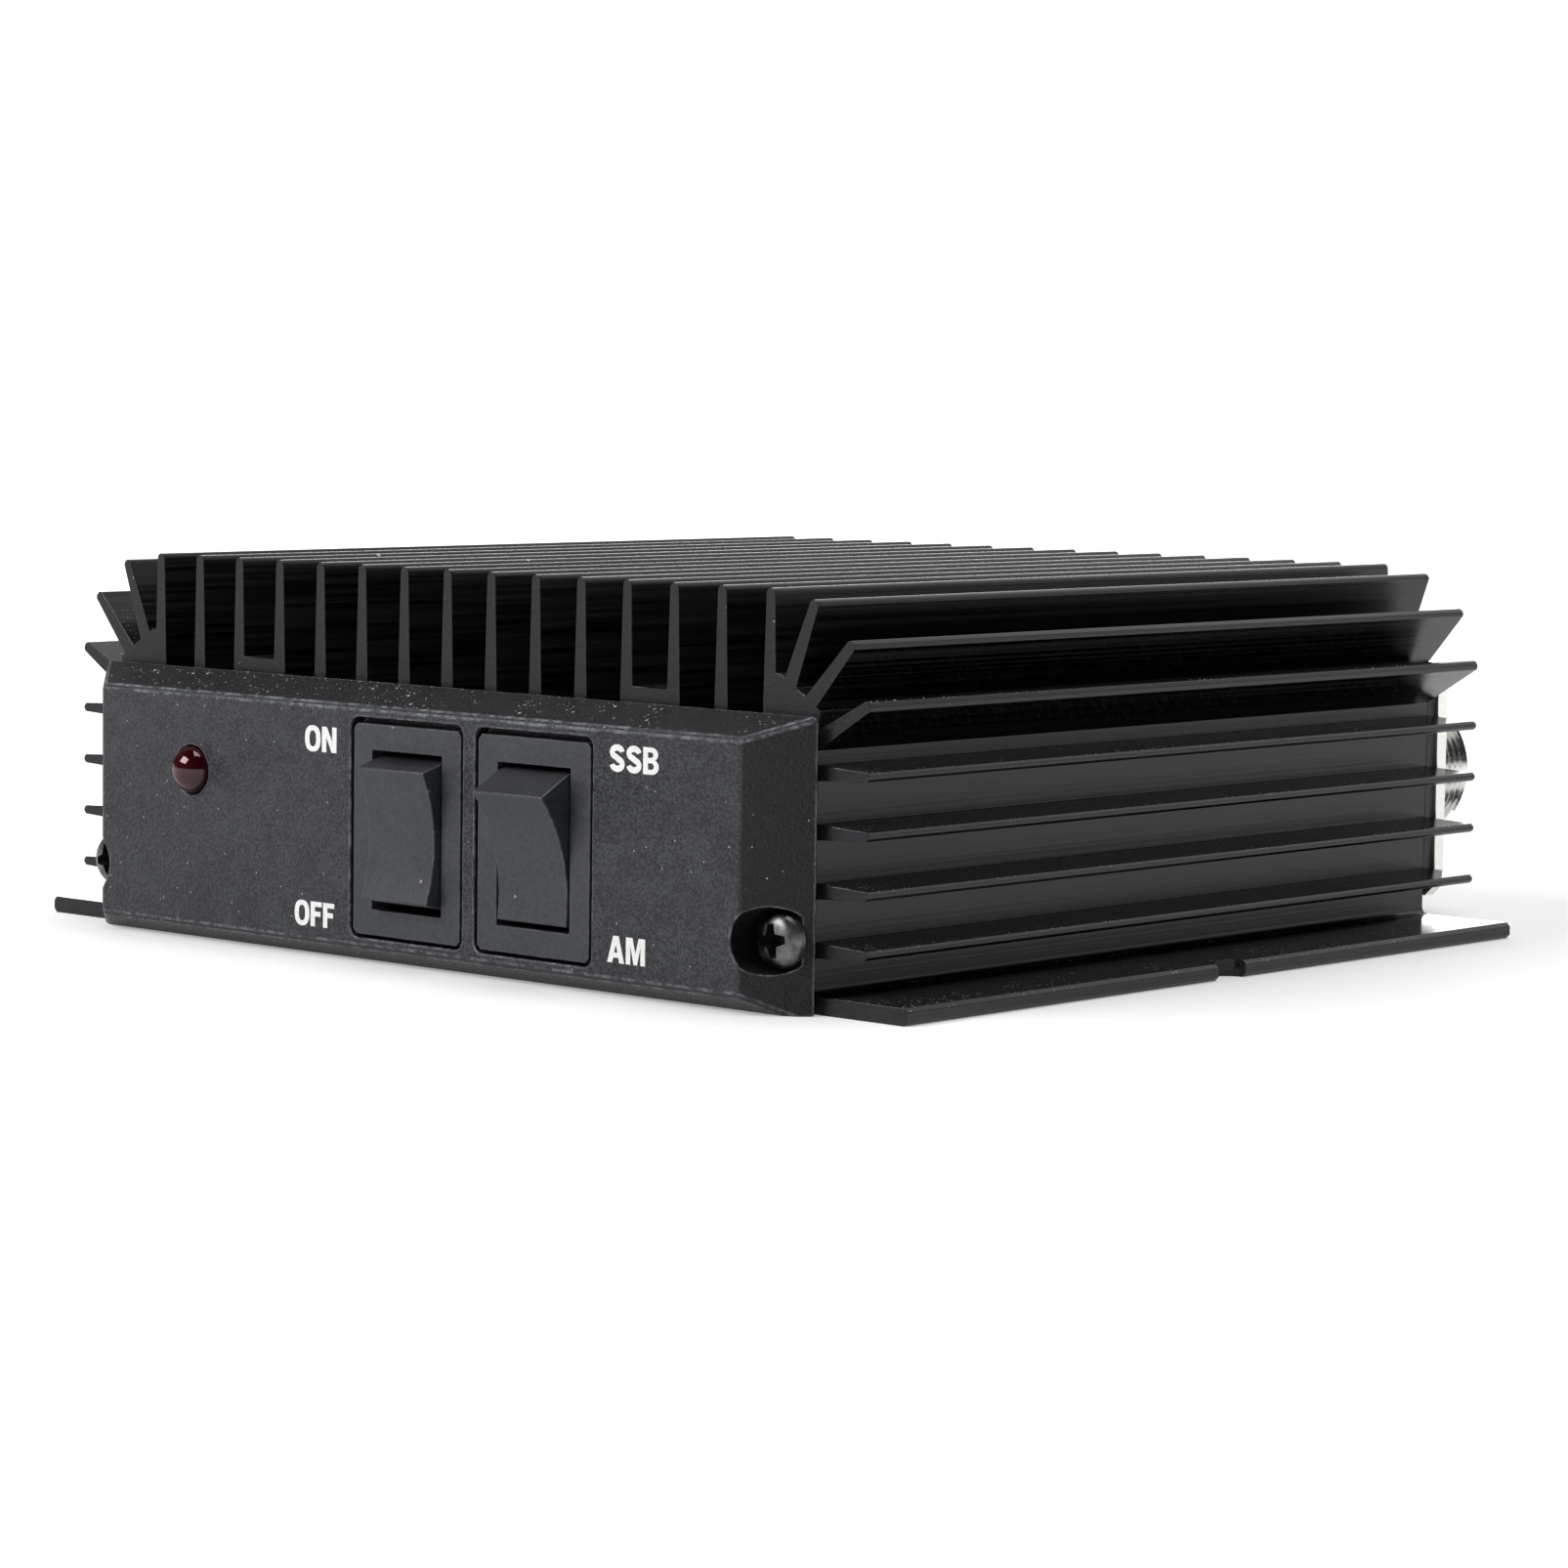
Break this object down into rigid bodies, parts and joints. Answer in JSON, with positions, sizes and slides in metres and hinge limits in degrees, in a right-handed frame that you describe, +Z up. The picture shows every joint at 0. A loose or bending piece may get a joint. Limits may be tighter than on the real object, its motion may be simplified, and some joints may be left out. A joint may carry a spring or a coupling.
{
  "type": "hf linear amplifier",
  "caption": "Compact HF linear amplifier in a finned black extrusion with moulded front cap, rocker switches, indicator lamp and rear coaxial sockets.",
  "frame": {"origin": "on the mounting plane under the flanges, at the middle of the overall width and length", "axes": "+X to the right seen from the front, +Y from the switches to the sockets, +Z up out of the mounting plane"},
  "size_m": [0.1204, 0.1245, 0.0393],
  "materials": {
    "black_anodised": "black anodised extrusion with fine lines along its length, worn grey at the edges",
    "black_anodised_sheet": "black anodised sheet",
    "black_moulding": "black moulded plastic with a fine grain",
    "black_steel": "blackened steel, slightly shiny",
    "black_sheet": "black satin paint on sheet",
    "black_rubber": "black rubber",
    "zinc_steel": "bright zinc-plated steel",
    "red_lens": "dark red tinted epoxy, glossy, unlit",
    "tinned_wire": "tinned wire",
    "board_laminate": "glass-epoxy laminate with green solder resist",
    "grey_pad": "grey silicone insulating pad",
    "tinned_metal": "tinned copper tab",
    "black_epoxy": "black moulded epoxy",
    "white_silicone": "white silicone rubber",
    "ferrite": "dark grey sintered ferrite",
    "bare_copper": "bare copper strap",
    "relay_plastic": "blue relay cover",
    "capacitor_case": "red film capacitor case",
    "chip_ceramic": "tan ceramic",
    "chip_black": "black glazed chip",
    "nickel_plate": "bright nickel plate",
    "white_insulator": "off-white insulator",
    "gold_brass": "plated brass",
    "black_satin": "black satin nylon",
    "black_gloss": "black nylon, satin to glossy",
    "contact_brass": "silver-washed brass"
  },
  "bodies": {
    "case": {"antenna_socket_contact": "gold_brass", "antenna_socket_insulator": "white_insulator", "antenna_socket_shell": "nickel_plate", "bottom_cover": "black_anodised_sheet", "cable_grommet": "black_rubber", "chip_capacitors": "chip_ceramic", "chip_resistors": "chip_black", "circuit_board": "board_laminate", "filter_coils": "ferrite", "front_cap": "black_moulding", "front_cap_screws": "black_steel", "heatsink_housing": "black_anodised", "input_transformer": "ferrite", "led_leads": "tinned_wire", "led_lens": "red_lens", "mode_switch_frame": "black_satin", "mode_terminals": "contact_brass", "output_relay": "relay_plastic", "output_transformer_core": "ferrite", "output_transformer_winding": "bare_copper", "power_switch_frame": "black_satin", "power_terminals": "contact_brass", "radio_socket_contact": "gold_brass", "radio_socket_insulator": "white_insulator", "radio_socket_shell": "nickel_plate", "rear_panel": "black_sheet", "socket_screws": "zinc_steel", "supply_capacitor": "capacitor_case", "transistor_bodies": "black_epoxy", "transistor_leads": "tinned_wire", "transistor_pads": "grey_pad", "transistor_press_block": "white_silicone", "transistor_tabs": "tinned_metal"},
    "power_rocker": {"power_rocker": "black_gloss"},
    "mode_rocker": {"mode_rocker": "black_gloss"},
    "power_contact": {"power_contact": "contact_brass"},
    "mode_contact": {"mode_contact": "contact_brass"}
  },
  "joints": [
    {"name": "power_rocker_tilt", "type": "hinge", "parent": "case", "child": "power_rocker", "pos_m": [0.0007, -0.0568, 0.01355], "axis": [1, 0, 0], "range_deg": [-18, 13]},
    {"name": "power_contact_tilt", "type": "hinge", "parent": "case", "child": "power_contact", "pos_m": [0.0007, -0.049, 0.01355], "axis": [1, 0, 0], "range_deg": [-10.09, 13.96]},
    {"name": "mode_rocker_tilt", "type": "hinge", "parent": "case", "child": "mode_rocker", "pos_m": [0.0182, -0.0568, 0.01355], "axis": [1, 0, 0], "range_deg": [-31, 0]},
    {"name": "mode_contact_tilt", "type": "hinge", "parent": "case", "child": "mode_contact", "pos_m": [0.0182, -0.049, 0.01355], "axis": [1, 0, 0], "range_deg": [-0.02, 24.02]}
  ],
  "couplings": [
    {"joint": "power_contact_tilt", "follows": "power_rocker_tilt", "ratio": -0.77419},
    {"joint": "mode_contact_tilt", "follows": "mode_rocker_tilt", "ratio": -0.77419}
  ]
}
